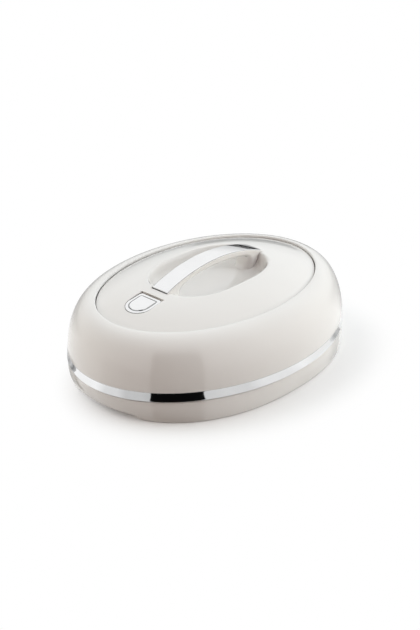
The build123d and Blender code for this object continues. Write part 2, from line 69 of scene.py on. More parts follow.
# Finger recess under each narrow end, cut by an oval beyond the foot, its middle a little to the near side.
RECESS_X, RECESS_Y = FOOT_A + 6.0, -7.0
RECESS_HALF, RECESS_HALF_W = 21.0, 50.2
RECESS_H = 4.6
RECESS_BLEND = 1.2          # rounding where its side meets its roof
RECESS_SKIN = 2.4           # moulding above the roof

# Lid shell: insets are from the band's oval.
BAND_BOTTOM, BAND_TOP = 22.0, 30.8
LID_BOTTOM = 22.4
LID_WALL = 2.6
LID_EDGE_R = 0.25
REBATE = 1.6                # the band lies in this rebate
BAND_GAP = 0.05             # clear space between the two
SEAM_INSET = 27.6
SEAM_EXTRA_B = 1.6          # the seam closes in this much more across the short axis
RIM_Z = 76.0
RIM_R = 1.0
RIM_FLAT = 1.5              # the rim runs straight for this far before the seam
RIM_FALL = 0.004            # and starts this much lower
DOME_STOP = 1.6             # the dome's own points stop this far before the seam
LID_WALL_TOP = BAND_TOP + 2     # the shell's inside is upright to this height
LEDGE_Z, LEDGE_T, LEDGE_W = 71.0, 2.6, 5.4
LEDGE_IN_R, LEDGE_OUT_R = 0.4, 0.3
DOME = ((0.0, BAND_TOP), (0.6, BAND_TOP + 16.0), (SEAM_INSET - 21.0, RIM_Z), (SEAM_INSET, RIM_Z))

# Band: how far it stands out at shares of its height.
BAND_EDGE = 0.3             # rounding of its upper edge
BAND_LIP = BAND_BOTTOM + 0.2
BAND_FOOT = 0.3             # how far its lower edge stands out
BAND_CURVE = ((0.0, 0.45), (0.06, 0.56), (0.15, 0.40), (0.40, 0.12), (0.65, 0.0), (0.85, -0.04), (1.0, -0.05))

# Top panel and hand pocket.
PANEL_A, PANEL_B = 122.0, 83.8
PANEL_EDGE_Z, PANEL_CROWN, PANEL_POWER = 73.6, 89.1, 3.2
PANEL_EDGE_R = 0.9
PANEL_T = 2.6
PANEL_FLANGE = 5.2
POCKET_A, POCKET_B, POCKET_N = 64.8, 44.6, 2.7
POCKET_TOP, POCKET_DEPTH = 88.0, 15.4
POCKET_CURVE = (            # inset from the pocket oval, share of the depth
    (0.0, 0.0), (1.4, 0.03), (2.7, 0.10), (3.9, 0.21), (5.3, 0.42),
    (7.2, 0.65), (10.0, 0.83), (14.6, 0.935), (20.6, 0.985), (26.6, 1.0),
)
POCKET_FLAT = 26.6          # inset where the floor starts
POCKET_LEAD = 0.25          # slope of its skin beyond the oval
POCKET_BLEND = 1.6          # width over which it is blended into the panel
POCKET_REACH = 0.9          # share of a point's distance from the lip that counts beyond the oval

# Handle: half lengths from the middle of the span.
HANDLE_W = 20.4
HANDLE_END_X, HANDLE_END_Z = 65.8, 87.5
HANDLE_CREST_Z, HANDLE_ARCH_Z = 100.2, 94.0
LEG_IN_X, LEG_TOP_Z = 48.3, 87.7
LEG_FOOT_X, LEG_FOOT_Z = 41.3, 72.4
ARCH_END_X = LEG_IN_X - 14.0    # the arch's arc ends here and turns into the leg
ARCH_ROUND = 2.8                # rounding of the arch's lower edges
LEG_ROUND = 5.0                 # of the leg's edges at its waist
FOOT_ROUND = 8.5                # and at its foot, whose inner end is nearly half round in plan
BOW_EDGE = 0.4                  # rounding of the bow's top edges
BOW_SIDE = 2.0                  # the points up its side end this far below the top
BOW_MIDDLE_Y = 0.6              # the first point of a section is this far off the middle
BOW_SECOND = 0.6                # and the second at this share of the way to the rounding
LEG_SINK = 0.3                  # the leg's side goes this far into the pocket's wall
LEG_SHORT = 1.2                 # and its last point there is this far from the pocket's edge
NOTCH_DEPTH = 2.2
NOTCH_GAP = 0.1
NOTCH_IN_X = POCKET_A - 3       # the notches open into the pocket
TRIM_W, TRIM_T, TRIM_SEAT, TRIM_END_X = 19.0, 1.5, 0.8, 65.0
TRIM_TAIL = 0.6                 # the trim's sides and its groove go this far below its seat
TRIM_GAP = 0.05                 # clear space on each side of the trim
TRIM_GROOVE = 0.25              # how much wider its groove is on each side
TRIM_CROWN = 0.25               # the trim is a little higher along its middle
TRIM_ROLL = 0.55

# Badge: D-shaped plate, its straight side towards the handle.
BADGE_X, BADGE_SINK, BADGE_LIE = -75.5, 1.0, 2.5
BADGE_SQUARE, BADGE_R, BADGE_T = 15.0, 13.5, 1.5
BADGE_CORNER, BADGE_CORNER_MIN = 3.0, 0.3
BADGE_CORNER_LOSS = 0.4         # share of the inset that the corners lose
BADGE_GAP = 0.4
BADGE_SLOT, BADGE_SLOT_D, BADGE_SLOT_OVER = 1.6, 1.8, 0.8
BADGE_SLOT_LAP = 0.5            # the slot's cut runs into the badge's own
BADGE_PROFILE = (               # inset and height above the plate: side, ring, groove and raised middle
    (1.2, -BADGE_T), (0.0, -BADGE_T), (0.0, -0.4), (0.12, -0.12), (0.4, 0.0), (2.7, 0.0), (2.85, -0.12),
    (3.0, -0.5), (3.7, -0.5), (3.8, -0.4), (4.0, 0.3), (4.25, 0.45), (4.7, 0.5),
)
BADGE_MIDDLE = ((0.85, 0.53), (0.65, 0.57), (0.4, 0.6), (0.15, 0.61))   # share of its size, height
BADGE_CENTRE = BADGE_SQUARE - 2.0


# ---------------------------------------------------------------- mesh helpers

def oval_point(a, b, n, share):
    """Plan point on a superellipse with half axes a and b, at a share of the turn round it."""
    c, s = math.cos(2 * math.pi * share), math.sin(2 * math.pi * share)
    r = 1 if n == 2.0 else (abs(c) ** n + abs(s) ** n) ** (-1 / n)
    return a * c * r, b * s * r


def oval(a, b, z, n=2.0):
    """Level ring of points on a superellipse."""
    return [(*oval_point(a, b, n, i / COLUMNS), z) for i in range(COLUMNS)]


def mix(p, q, w):
    return tuple(u + (v - u) * w for u, v in zip(p, q))


def smooth_min(u, v, k):
    """The lower of two heights, blended over a width k where they meet."""
    h = max(k - abs(u - v), 0.0) / k
    return min(u, v) - h * h * k / 4


def table_value(table, x):
    """Smooth value at x in a table of (x, value) rows."""
    if x <= table[0][0]:
        return table[0][1]
    if x >= table[-1][0]:
        return table[-1][1]
    i = max(k for k in range(len(table) - 1) if table[k][0] <= x)
    (x0, y0), (x1, y1) = table[i], table[i + 1]

    def slope(k):
        lo, hi = max(k - 1, 0), min(k + 1, len(table) - 1)
        return (table[hi][1] - table[lo][1]) / (table[hi][0] - table[lo][0])

    w, h = (x - x0) / (x1 - x0), x1 - x0
    return ((1 + 2 * w) * (1 - w) ** 2 * y0 + w * (1 - w) ** 2 * h * slope(i)
            + w * w * (3 - 2 * w) * y1 + w * w * (w - 1) * h * slope(i + 1))


def bezier(points, t):
    """Point and left normal on a cubic."""
    w = ((1 - t) ** 3, 3 * t * (1 - t) ** 2, 3 * t * t * (1 - t), t ** 3)
    v = (3 * (1 - t) ** 2, 6 * t * (1 - t), 3 * t * t)
    x, z = (sum(k * p[i] for k, p in zip(w, points)) for i in (0, 1))
    dx, dz = (sum(v[j] * (points[j + 1][i] - points[j][i]) for j in range(3)) for i in (0, 1))
    size = math.hypot(dx, dz)
    return x, z, dz / size, -dx / size


def quarter(r, steps):
    """Quarter round of radius r: at each step, how far in it has turned and how far below the top it is."""
    turns = [math.pi / 2 * k / steps for k in range(steps + 1)]
    return [(r * (1 - math.cos(turn)), r * (1 - math.sin(turn))) for turn in turns]


def rounded(points, steps=6):
    """Closed profile from corners (x, z, radius), each corner with a radius turned as an arc."""
    out = []
    for i, (x, z, r) in enumerate(points):
        if r == 0:
            out.append((x, z))
            continue
        p, here, q = Vector(points[i - 1][:2]), Vector((x, z)), Vector(points[(i + 1) % len(points)][:2])
        u, v = (p - here).normalized(), (q - here).normalized()
        half = u.angle(v) / 2
        reach = r / math.tan(half)
        centre = here + (u + v).normalized() * (r / math.sin(half))
        start, end = here + u * reach - centre, here + v * reach - centre
        turn = start.angle_signed(end)
        for k in range(steps + 1):
            a = -turn * k / steps
            c, s = math.cos(a), math.sin(a)
            out.append((centre.x + start.x * c - start.y * s, centre.y + start.x * s + start.y * c))
    return out


def build(name, rings, body, slot, replaced, closed=True):
    """Piece through rings of equal length: they close on each other, or a fan closes each end."""
    count = len(rings[0])
    verts = [tuple(v * MM for v in p) for ring in rings for p in ring]
    faces = []
    pairs = [(k, k + 1) for k in range(len(rings) - 1)]
    if closed:
        pairs.append((len(rings) - 1, 0))
    for k, m in pairs:
        for i in range(count):
            j = (i + 1) % count
            faces.append((k * count + i, k * count + j, m * count + j, m * count + i))
    if not closed:
        for k, flip in ((0, True), (len(rings) - 1, False)):
            verts.append(tuple(sum(p[axis] for p in rings[k]) / count * MM for axis in range(3)))
            tip = len(verts) - 1
            for i in range(count):
                a, b = k * count + i, k * count + (i + 1) % count
                faces.append((b, a, tip) if flip else (a, b, tip))
    mesh = bpy.data.meshes.new(name)
    mesh.from_pydata(verts, [], faces)
    mesh.validate()
    return finish_piece(name, mesh, body, slot, replaced)


def finish_piece(name, mesh, body, slot, replaced):
    """Object from a mesh, smooth but for its sharp edges, riding on its body."""
    mesh.update()
    obj = bpy.data.objects.new(name, mesh)
    bpy.context.scene.collection.objects.link(obj)
    obj.data.materials.append(MATERIALS[slot])
    bpy.context.view_layer.objects.active = obj
    for other in bpy.context.selected_objects:
        other.select_set(False)
    obj.select_set(True)
    bpy.ops.object.mode_set(mode="EDIT")
    bpy.ops.mesh.select_all(action="SELECT")
    bpy.ops.mesh.normals_make_consistent(inside=False)
    bpy.ops.object.mode_set(mode="OBJECT")
    bpy.ops.object.shade_smooth_by_angle(angle=math.radians(38))
    obj.select_set(False)
    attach(obj, body)
    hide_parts(*replaced)
    return obj


# ---------------------------------------------------------------- node helpers

def set_sockets(tree, node, sockets):
    """Give each socket its value, or link it to the output that stands in for one."""
    for name, value in sockets.items():
        if isinstance(value, bpy.types.NodeSocket):
            tree.links.new(value, node.inputs[name])
        else:
            node.inputs[name].default_value = value


def add_node(tree, kind, sockets, **settings):
    node = tree.nodes.new(kind)
    for name, value in settings.items():
        setattr(node, name, value)
    set_sockets(tree, node, sockets)
    return node


def calc(tree, operation, p, q, **settings):
    return add_node(tree, "ShaderNodeMath", {0: p, 1: q}, operation=operation, **settings).outputs["Value"]


def vector_calc(tree, operation, p, q):
    return add_node(tree, "ShaderNodeVectorMath", {0: p, 1: q}, operation=operation).outputs["Vector"]


def facing(tree, direction, way):
    """Cosine of the angle between a direction and a fixed way."""
    node = add_node(tree, "ShaderNodeVectorMath", {0: direction, 1: way}, operation="DOT_PRODUCT")
    return node.outputs["Value"]


def map_range(tree, value, start, end, low=0.0, high=1.0, curve="LINEAR"):
    """From low to high as a value goes from start to end."""
    sockets = {"Value": value, "From Min": start, "From Max": end, "To Min": low, "To Max": high}
    return add_node(tree, "ShaderNodeMapRange", sockets, interpolation_type=curve).outputs["Result"]


def mix_colour(tree, factor, low, high):
    sockets = {"Factor": factor, "A": low, "B": high}
    return add_node(tree, "ShaderNodeMix", sockets, data_type="RGBA").outputs["Result"]


def opaque(colour):
    return (*colour, 1)


# ---------------------------------------------------------------- materials

NOISE_LOW, NOISE_HIGH = 0.3, 0.7        # most of a noise texture lies between these


def new_material(name):
    material = bpy.data.materials.new(name)
    material.use_nodes = True
    tree = material.node_tree
    place = add_node(tree, "ShaderNodeTexCoord", {}).outputs["Object"]
    return material, tree, tree.nodes["Principled BSDF"], place


def noise(tree, place, scale, detail=2.0, stretch=None):
    if stretch:
        place = add_node(tree, "ShaderNodeMapping", {"Vector": place, "Scale": stretch}).outputs["Vector"]
    sockets = {"Vector": place, "Scale": scale, "Detail": detail}
    return add_node(tree, "ShaderNodeTexNoise", sockets).outputs["Fac"]


def ramp(tree, factor, low, high):
    """Colours from low to high as a noise goes over its range."""
    node = add_node(tree, "ShaderNodeValToRGB", {"Fac": factor})
    for element, position, colour in zip(node.color_ramp.elements, (NOISE_LOW, NOISE_HIGH), (low, high)):
        element.position, element.color = position, opaque(colour)
    return node.outputs["Color"]


def spread(tree, factor, low, high):
    """Values from low to high as a noise goes over its range."""
    return map_range(tree, factor, NOISE_LOW, NOISE_HIGH, low, high)


def bump(tree, height, distance, strength):
    sockets = {"Height": height, "Distance": distance, "Strength": strength}
    return add_node(tree, "ShaderNodeBump", sockets).outputs["Normal"]


def painted_groove_shade(tree, plain, dark, reach, shut, clear):
    """The plain colour, and a dark one as painted shade where walls within reach, in metres, shut a groove
    in.
    """
    # painted shade: occlusion by nearby walls darkens the colour, not any dirt on the part
    sky = add_node(tree, "ShaderNodeAmbientOcclusion", {"Distance": reach}, samples=8).outputs["AO"]
    return mix_colour(tree, map_range(tree, sky, shut, clear), opaque(dark), plain)


def moulded(name, low, high, rough, coat=0.0):
    """Injection moulded plastic: faint flow tint, painted shade in its creases, a breath of orange peel and
    uneven polish.
    """
    material, tree, shader, place = new_material(name)
    tint = ramp(tree, noise(tree, place, 14.0, 3.0), low, high)
    set_sockets(tree, shader, {
        # painted shade: the base colour turns dark grey where nearby walls shut a crease or seam in
        "Base Color": painted_groove_shade(tree, tint, (0.20, 0.19, 0.18), 0.0012, 0.15, 0.6),
        "Roughness": spread(tree, noise(tree, place, 60.0, 4.0), rough * 0.85, rough * 1.2),
        "Normal": bump(tree, noise(tree, place, 900.0, 1.0), 0.00002, 0.05),
        "IOR": 1.5,
        "Coat Weight": coat,
        "Coat Roughness": 0.04,
    })
    return material


def plated(name, low, high, rough):
    """Bright plating with the slightest haze and ripple, and painted shade in its grooves."""
    material, tree, shader, place = new_material(name)
    tint = ramp(tree, noise(tree, place, 40.0), low, high)
    set_sockets(tree, shader, {
        "Metallic": 1.0,
        # painted shade: the plating's colour turns near black where nearby walls shut a groove in
        "Base Color": painted_groove_shade(tree, tint, (0.05, 0.052, 0.055), 0.0014, 0.5, 0.93),
        "Roughness": spread(tree, noise(tree, place, 220.0, 5.0), rough * 0.7, rough * 1.3),
        "Normal": bump(tree, noise(tree, place, 160.0, 1.0), 0.00001, 0.04),
    })
    return material


def brushed(name, low, high, rough, stretch):
    """Steel with fine drawn lines along one direction."""
    material, tree, shader, place = new_material(name)
    lines = noise(tree, place, 160.0, 6.0, stretch)
    set_sockets(tree, shader, {
        "Metallic": 1.0,
        "Base Color": ramp(tree, lines, low, high),
        "Roughness": spread(tree, lines, rough * 0.8, rough * 1.3),
        "Normal": bump(tree, lines, 0.00005, 0.12),
    })
    return material


def foamed(name, low, high):
    """Poured foam: open cells and a blotchy skin."""
    material, tree, shader, place = new_material(name)
    cells = add_node(tree, "ShaderNodeTexVoronoi", {"Vector": place, "Scale": 700.0}).outputs["Distance"]
    set_sockets(tree, shader, {
        "Base Color": ramp(tree, noise(tree, place, 50.0, 5.0), low, high),
        "Roughness": spread(tree, cells, 0.75, 0.95),
        "Normal": bump(tree, cells, 0.0006, 0.5),
    })
    return material


MATERIALS = {
    "moulded_white": moulded("white_moulding", (0.775, 0.755, 0.73), (0.80, 0.782, 0.757), 0.13, coat=0.8),
    "liner_white": moulded("liner_moulding", (0.77, 0.76, 0.74), (0.80, 0.79, 0.77), 0.28),
    "chrome_trim": plated("bright_plating", (0.86, 0.865, 0.87), (0.90, 0.905, 0.91), 0.06),
    "bowl_steel": brushed("bowl_brushing", (0.60, 0.60, 0.595), (0.68, 0.68, 0.675), 0.26, (0.3, 9.0, 9.0)),
    "foam": foamed("poured_foam", (0.72, 0.62, 0.38), (0.84, 0.76, 0.52)),
    "screw_steel": brushed("screw_turning", (0.48, 0.48, 0.48), (0.62, 0.62, 0.62), 0.32, (1.0, 1.0, 30.0)),
    "plug_grey": moulded("plug_moulding", (0.56, 0.56, 0.55), (0.63, 0.63, 0.62), 0.5),
}

for row in frame["record"]["subparts"]:
    data = nodes[row["node"]].data
    data.materials.clear()
    data.materials.append(MATERIALS[row["material_slot"]])


# ---------------------------------------------------------------- base shell

def recess_height(x, y, raise_by=0.0):
    """Height of the recess roof above the table at a plan point; zero outside the recess."""
    u, v = (abs(x) - RECESS_X) / RECESS_HALF, (y - RECESS_Y) / RECESS_HALF_W
    r = math.hypot(u, v)
    # distance in from the oval's edge, to first order
    slope = math.hypot(u / RECESS_HALF, v / RECESS_HALF_W) / r
    depth = (1 - r) / slope
    if depth <= 0:
        return 0.0
    return smooth_min(depth, RECESS_H, RECESS_BLEND) + raise_by


def wall_axes(z):
    """Half axes and squareness of the base wall at a height."""
    rise = min(z / BASE_TOP, 1)
    out = table_value(BASE_CURVE, rise)
    return FOOT_A + (RIM_A - FOOT_A) * out, FOOT_B + (RIM_B - FOOT_B) * out, FOOT_N + (2.0 - FOOT_N) * rise


def wall_ring(heights, inside=0.0):
    """Ring on the base wall, or inside it, with a height for each of its points."""
    ring = []
    for i, z in enumerate(heights):
        a, b, n = wall_axes(z)
        ring.append((*oval_point(a - inside, b - inside, n, i / COLUMNS), z))
    return ring


def base_rings():
    """Rings up the outside, down the inside, through the plug hole and out under the foot."""
    roofs = [recess_height(x, y) for x, y, _ in oval(FOOT_A, FOOT_B, 0, FOOT_N)]
    lip = reversed(quarter(BASE_LIP, 5))
    rings = [wall_ring([roof + up for roof in roofs], inside) for inside, up in lip]
    lip_top, shoulder, steps = [z for _, _, z in rings[-1]], BASE_EDGE - BASE_SHOULDER, 14
    rings += [wall_ring([low + (shoulder - low) * k / steps for low in lip_top]) for k in range(1, steps + 1)]
    a, b, n = wall_axes(BASE_TOP)
    for inside, down in quarter(BASE_SHOULDER, 4)[1:]:
        rings.append(oval(a - inside, b - inside, BASE_EDGE - down, n))
    rings.append(oval(a - BASE_WALL + BASE_BREAK, b - BASE_WALL + BASE_BREAK, BASE_EDGE, n))
    rings += [wall_ring([z] * COLUMNS, BASE_WALL) for z in (BASE_EDGE - BASE_BREAK, *INNER_WALL)]
    for inset in INNER_FLOOR:
        ring = oval(FLOOR_A - inset, FLOOR_B - inset, 0, FOOT_N)
        rings.append([(x, y, max(BASE_FLOOR, recess_height(x, y, RECESS_SKIN))) for x, y, _ in ring])
    rings += [oval(PLUG_HOLE, PLUG_HOLE, z) for z in (BASE_FLOOR, FOOT_RAISE)]
    a, b = FOOT_A - FOOT_RING, FOOT_B - FOOT_RING
    rings.append(oval(a, b, FOOT_RAISE))
    foot, steps = oval(a + FOOT_SLOPE, b + FOOT_SLOPE, 0.0), 15
    rings.append(foot)
    for k in range(1, steps):
        ring = [mix(p, q, k / steps) for p, q in zip(foot, rings[0])]
        rings.append([(x, y, recess_height(x, y)) for x, y, _ in ring])
    return rings


build("base_moulding", base_rings(), "base", "moulded_white", ["base_shell"])


# ---------------------------------------------------------------- lid dome

def lid_ring(inset, z):
    b_extra = SEAM_EXTRA_B * min(max(inset, 0.0) / SEAM_INSET, 1.0)
    return oval(BAND_A - inset, BAND_B - inset - b_extra, z)


def lid_profile():
    """From the bottom up the outside and over the rim to the ledge, and back down the inside."""
    steps, wall_x = 44, REBATE + LID_WALL
    dome = [bezier(DOME, k / steps) for k in range(steps + 1)]
    outside = [(x, z, 0) for x, z, _, _ in dome[1:-1] if x < SEAM_INSET - DOME_STOP]
    inside = [(x + nx * LID_WALL, z + nz * LID_WALL, 0) for x, z, nx, nz in reversed(dome)]
    inside = [(x, z, r) for x, z, r in inside if LID_WALL_TOP < z and x < SEAM_INSET - LID_WALL]
    return rounded([
        (REBATE, LID_BOTTOM, LID_EDGE_R), (REBATE, BAND_TOP - BAND_GAP, 0), (0.0, BAND_TOP, LID_EDGE_R),
        *outside,
        (SEAM_INSET - RIM_FLAT, RIM_Z - RIM_FALL, 0), (SEAM_INSET, RIM_Z, RIM_R),
        (SEAM_INSET, LEDGE_Z, LEDGE_IN_R), (SEAM_INSET + LEDGE_W, LEDGE_Z, LEDGE_OUT_R),
        (SEAM_INSET + LEDGE_W, LEDGE_Z - LEDGE_T, 0), (SEAM_INSET - LID_WALL, LEDGE_Z - LEDGE_T, 0),
        *inside,
        (wall_x, LID_WALL_TOP, 0), (wall_x, LID_BOTTOM, LID_EDGE_R),
    ])


build("lid_moulding", [lid_ring(x, z) for x, z in lid_profile()], "lid", "moulded_white", ["lid_shell"])


# ---------------------------------------------------------------- band

def band_profile():
    """Closed profile (inset, z) of the band: its crowned face, rolled over at the top."""
    steps, height = 30, BAND_TOP - BAND_EDGE - BAND_LIP
    face = [(-table_value(BAND_CURVE, k / steps), BAND_LIP + height * k / steps) for k in range(1, steps + 1)]
    top = [(face[-1][0] + inside, BAND_TOP - down) for inside, down in quarter(BAND_EDGE, 4)[1:]]
    back = REBATE - BAND_GAP
    return [(back, BAND_LIP), (-BAND_FOOT, BAND_LIP), *face, *top, (back, BAND_TOP - BAND_GAP)]


build("bright_band", [oval(BAND_A - d, BAND_B - d, z) for d, z in band_profile()],
      "lid", "chrome_trim", ["lid_band"])


# ---------------------------------------------------------------- top panel

def panel_z(x, y):
    rho = math.hypot(x / PANEL_A, y / PANEL_B)
    return PANEL_CROWN - (PANEL_CROWN - PANEL_EDGE_Z) * rho ** PANEL_POWER


def pocket_z(d):
    """Height of the pocket skin at an inset from its oval; outside the oval it climbs on."""
    if d < 0:
        return POCKET_TOP - POCKET_LEAD * d
    return POCKET_TOP - POCKET_DEPTH * table_value(POCKET_CURVE, d)


def panel_rings(drop, grow):
    """Rings from the panel's edge inward over the pocket's lip to the middle of its floor."""
    def skin(x, y, d):
        return x, y, smooth_min(panel_z(x, y), pocket_z(d), POCKET_BLEND) - drop

    rings = []
    edge_inset = PANEL_FLANGE if drop else PANEL_EDGE_R
    outer = oval(PANEL_A - edge_inset, PANEL_B - edge_inset, 0)
    pocket_a, pocket_b = POCKET_A + grow, POCKET_B + grow
    lip = oval(pocket_a, pocket_b, 0, POCKET_N)
    # the rings are closest together at the lip
    steps = 26
    for k in range(steps + 1):
        w = 1 - (1 - k / steps) ** 1.4
        ring = []
        for p, q in zip(outer, lip):
            x, y, _ = mix(p, q, w)
            ring.append(skin(x, y, -POCKET_REACH * math.hypot(x - q[0], y - q[1])))
        rings.append(ring)
    steps = 48
    for k in range(1, steps + 1):
        d = POCKET_FLAT * (k / steps) ** 1.25
        rings.append([skin(x, y, d) for x, y, _ in oval(pocket_a - d, pocket_b - d, 0, POCKET_N)])
    for share in (0.75, 0.5, 0.25, 0.06):
        a, b = (pocket_a - POCKET_FLAT) * share, (pocket_b - POCKET_FLAT) * share
        rings.append(oval(a, b, POCKET_TOP - POCKET_DEPTH - drop, POCKET_N))
    return rings


def panel_edge():
    """Rings up the panel's edge and round its top."""
    edge = [(PANEL_A, PANEL_B, LEDGE_Z), (PANEL_A, PANEL_B, PANEL_EDGE_Z - PANEL_EDGE_R)]
    lift = panel_z(PANEL_A - PANEL_EDGE_R, 0) - (PANEL_EDGE_Z - PANEL_EDGE_R)
    for inside, down in quarter(PANEL_EDGE_R, 5)[1:-1]:
        z = PANEL_EDGE_Z - PANEL_EDGE_R + lift * (1 - down / PANEL_EDGE_R)
        edge.append((PANEL_A - inside, PANEL_B - inside, z))
    return [oval(a, b, z) for a, b, z in edge]


badge_slope = ((PANEL_CROWN - PANEL_EDGE_Z) * PANEL_POWER / PANEL_A
               * ((BADGE_LIE - BADGE_X) / PANEL_A) ** (PANEL_POWER - 1))
badge_tilt = math.atan(badge_slope)
badge_z = panel_z(BADGE_X, 0) - BADGE_SINK


def badge_point(u, v, w):
    """Point on the badge plane: u away from the straight side, v across, w above the plate."""
    c, s = math.cos(badge_tilt), math.sin(badge_tilt)
    return BADGE_X - c * u - s * w, v, badge_z - s * u + c * w


def badge_outline(inside):
    """D outline moved inward, starting in the middle of the straight side."""
    r = BADGE_R - inside
    corner = max(BADGE_CORNER - inside * BADGE_CORNER_LOSS, BADGE_CORNER_MIN)
    points = [(inside, r * k / 6 * (1 - corner / r)) for k in range(6)]
    points += [(inside + across, r - down) for across, down in quarter(corner, 6)]
    points += [(inside + corner + (BADGE_SQUARE - inside - corner) * k / 6, r) for k in range(1, 6)]
    points += [(BADGE_SQUARE + r - down, r - across) for across, down in quarter(r, 24)]
    return points + [(u, -v) for u, v in reversed(points[1:-1])]


def cutter(outline, low, high):
    """Prism on the badge plane between two heights above the plate."""
    mesh = bpy.data.meshes.new("cutter")
    count = len(outline)
    verts = [tuple(v * MM for v in badge_point(u, v, w)) for w in (low, high) for u, v in outline]
    faces = [tuple(range(count)), tuple(range(2 * count - 1, count - 1, -1))]
    faces += [(i, i + count, (i + 1) % count + count, (i + 1) % count) for i in range(count)]
    mesh.from_pydata(verts, [], faces)
    return mesh


def box_mesh(low, high):
    mesh = bpy.data.meshes.new("cutter")
    (x0, y0, z0), (x1, y1, z1) = ([v * MM for v in p] for p in (low, high))
    mesh.from_pydata([(x, y, z) for z in (z0, z1) for y in (y0, y1) for x in (x0, x1)], [],
                     [(0, 2, 3, 1), (4, 5, 7, 6), (0, 1, 5, 4), (2, 6, 7, 3), (0, 4, 6, 2), (1, 3, 7, 5)])
    return mesh


def carve(obj, tools):
    """Cut closed meshes out of an object."""
    for mesh in tools:
        shape = bmesh.new()
        shape.from_mesh(mesh)
        bmesh.ops.recalc_face_normals(shape, faces=shape.faces)
        shape.to_mesh(mesh)
        shape.free()
        tool = bpy.data.objects.new("cutter", mesh)
        bpy.context.scene.collection.objects.link(tool)
        cut = obj.modifiers.new("cut", "BOOLEAN")
        cut.operation, cut.solver, cut.object = "DIFFERENCE", "EXACT", tool
        bpy.context.view_layer.objects.active = obj
        bpy.ops.object.modifier_apply(modifier=cut.name)
        bpy.data.objects.remove(tool)
    obj.data.update()


under_rings = [oval(PANEL_A - PANEL_FLANGE, PANEL_B - PANEL_FLANGE, LEDGE_Z)] + panel_rings(PANEL_T, PANEL_T)
panel = build("panel_moulding", list(reversed(under_rings)) + panel_edge() + panel_rings(0.0, 0.0),
              "lid", "moulded_white", ["top_panel"], closed=False)

ABOVE = 6.0             # the cuts go this far above the panel
slot_end = BADGE_R + BADGE_SLOT_OVER
slot_outline = [(-BADGE_SLOT, -slot_end), (BADGE_SLOT_LAP, -slot_end), (BADGE_SLOT_LAP, slot_end),
                (-BADGE_SLOT, slot_end)]
notch_x, notch_y = HANDLE_END_X + NOTCH_GAP, HANDLE_W / 2 + NOTCH_GAP
notch_z = HANDLE_END_Z - NOTCH_DEPTH
carve(panel, [
    cutter(badge_outline(-BADGE_GAP), -BADGE_T, ABOVE),
    cutter(slot_outline, -BADGE_SLOT_D, ABOVE),
    box_mesh((-notch_x, -notch_y, notch_z), (-NOTCH_IN_X, notch_y, notch_z + ABOVE)),
    box_mesh((NOTCH_IN_X, -notch_y, notch_z), (notch_x, notch_y, notch_z + ABOVE)),
])


# ---------------------------------------------------------------- handle

def arc_height(x, end_x, end_z, crest_z):
    """Height on the circle through (-end_x, end_z), (0, crest_z) and (end_x, end_z)."""
    rise = crest_z - end_z
    radius = (end_x ** 2 + rise ** 2) / (2 * rise)
    return crest_z - radius + math.sqrt(radius ** 2 - x ** 2)


def bow_top(x):
    return arc_height(x, HANDLE_END_X, HANDLE_END_Z, HANDLE_CREST_Z)


def arch_z(x):
    return arc_height(x, LEG_IN_X, LEG_TOP_Z, HANDLE_ARCH_Z)


# The arch turns into the leg along the first cubic, and the second sweeps hollow down to the foot.
LEG_WAIST = (LEG_IN_X - 0.7, 82.0)
LEG_CORNER = ((ARCH_END_X, arch_z(ARCH_END_X)), (ARCH_END_X + 9.5, arch_z(ARCH_END_X) - 2.6),
              (LEG_IN_X - 0.6, LEG_TOP_Z - 0.4), LEG_WAIST)
LEG_SWEEP = (LEG_WAIST, (LEG_IN_X - 0.9, 77.0), (LEG_IN_X - 2.6, LEG_FOOT_Z + 0.6), (LEG_FOOT_X, LEG_FOOT_Z))


def under_path():
    """From mid span out and down the leg: (x, z, rounding, and the way into the leg)."""
    steps = 12
    path = []
    for k in range(steps + 1):
        x = ARCH_END_X * k / steps
        path.append((x, arch_z(x), ARCH_ROUND, (0.0, 1.0)))
    steps = 14
    for k in range(1, steps + 1):
        t = k / steps
        x, z, nx, nz = bezier(LEG_CORNER, t)
        path.append((x, z, ARCH_ROUND + (LEG_ROUND - ARCH_ROUND) * t * t, (abs(nx), abs(nz))))
    steps = 12
    for k in range(1, steps + 1):
        t = k / steps
        x, z = bezier(LEG_SWEEP, t)[:2]
        path.append((x, z, LEG_ROUND + (FOOT_ROUND - LEG_ROUND) * t, (1.0, 0.0)))
    return path


def wall_line():
    """Where the leg's side goes down into the pocket's wall, sunk a little into the skin."""
    first, steps = LEG_FOOT_X + FOOT_ROUND, 11
    edge_x = POCKET_A * (1 - (HANDLE_W / 2 / POCKET_B) ** POCKET_N) ** (1 / POCKET_N)
    points = []
    for k in range(1, steps + 1):
        x = first + (edge_x - LEG_SHORT - first) * k / steps
        points.append((x, min(pocket_z(edge_x - x) - LEG_SINK, notch_z)))
    return points + [(HANDLE_END_X, notch_z)]


def bow_half():
    """Sections of one half of the bow, from mid span to the end, as lists of (x, y, z) with y > 0."""
    half, groove_y = HANDLE_W / 2, TRIM_W / 2 + TRIM_GROOVE
    path, wall = under_path(), wall_line()
    runs = [0.0]
    for p, q in zip(path, path[1:]):
        runs.append(runs[-1] + math.hypot(q[0] - p[0], q[1] - p[1]))
    sections = []
    for (x, z, r, (into_x, into_z)), run in zip(path, runs):
        section = [(x, BOW_MIDDLE_Y, z), (x, (half - r) * BOW_SECOND, z)]
        section += [(x + into_x * deep, half - left, z + into_z * deep) for deep, left in quarter(r, 8)]
        top_x = HANDLE_END_X * run / runs[-1]
        top_z = bow_top(top_x)
        low_x, _, low_z = section[-1]
        if run == runs[-1]:
            section += [(px, half, pz) for px, pz in wall]
        else:
            for k in range(1, len(wall) + 1):
                w = k / len(wall)
                section.append((low_x + (top_x - low_x) * w, half, low_z + (top_z - BOW_SIDE - low_z) * w))
        section += [(top_x, half - inside, top_z - down) for inside, down in quarter(BOW_EDGE, 4)]
        section += [(top_x, groove_y, top_z), (top_x, groove_y, top_z - TRIM_SEAT - TRIM_TAIL)]
        sections.append(section)
    return sections


